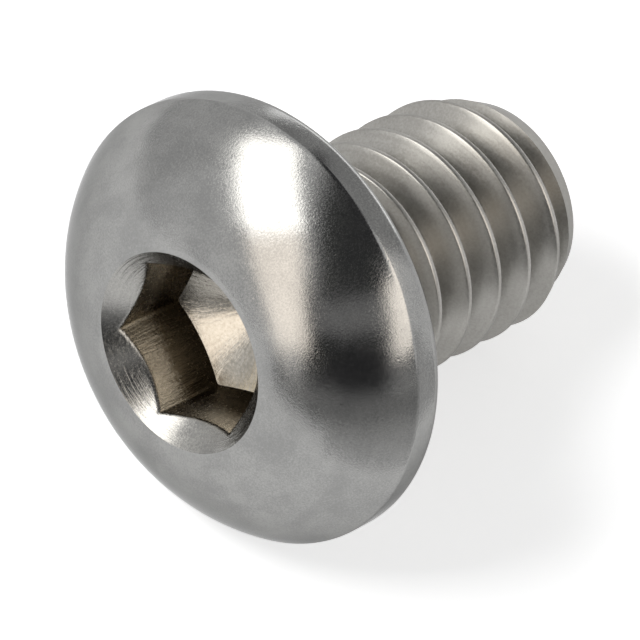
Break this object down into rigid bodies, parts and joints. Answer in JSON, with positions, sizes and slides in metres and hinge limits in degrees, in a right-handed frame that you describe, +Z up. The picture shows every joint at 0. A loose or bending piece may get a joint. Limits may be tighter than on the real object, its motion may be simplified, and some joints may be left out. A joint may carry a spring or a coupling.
{
  "type": "button head screw",
  "caption": "Short button head machine screw, low domed head with a countersunk hex socket and a coarse metric thread.",
  "frame": {"origin": "middle of the lying screw's footprint, on the surface it rests on", "axes": "+X along the lying screw from head to tip, +Z up, +Y across; the screw's own axis lies in the XZ plane and slopes down towards the tip"},
  "size_m": [0.008, 0.0072, 0.007],
  "materials": {
    "screw_steel": "satin, lightly scuffed as tumbled"
  },
  "bodies": {
    "root": {"button_head_screw": "screw_steel"}
  },
  "joints": []
}
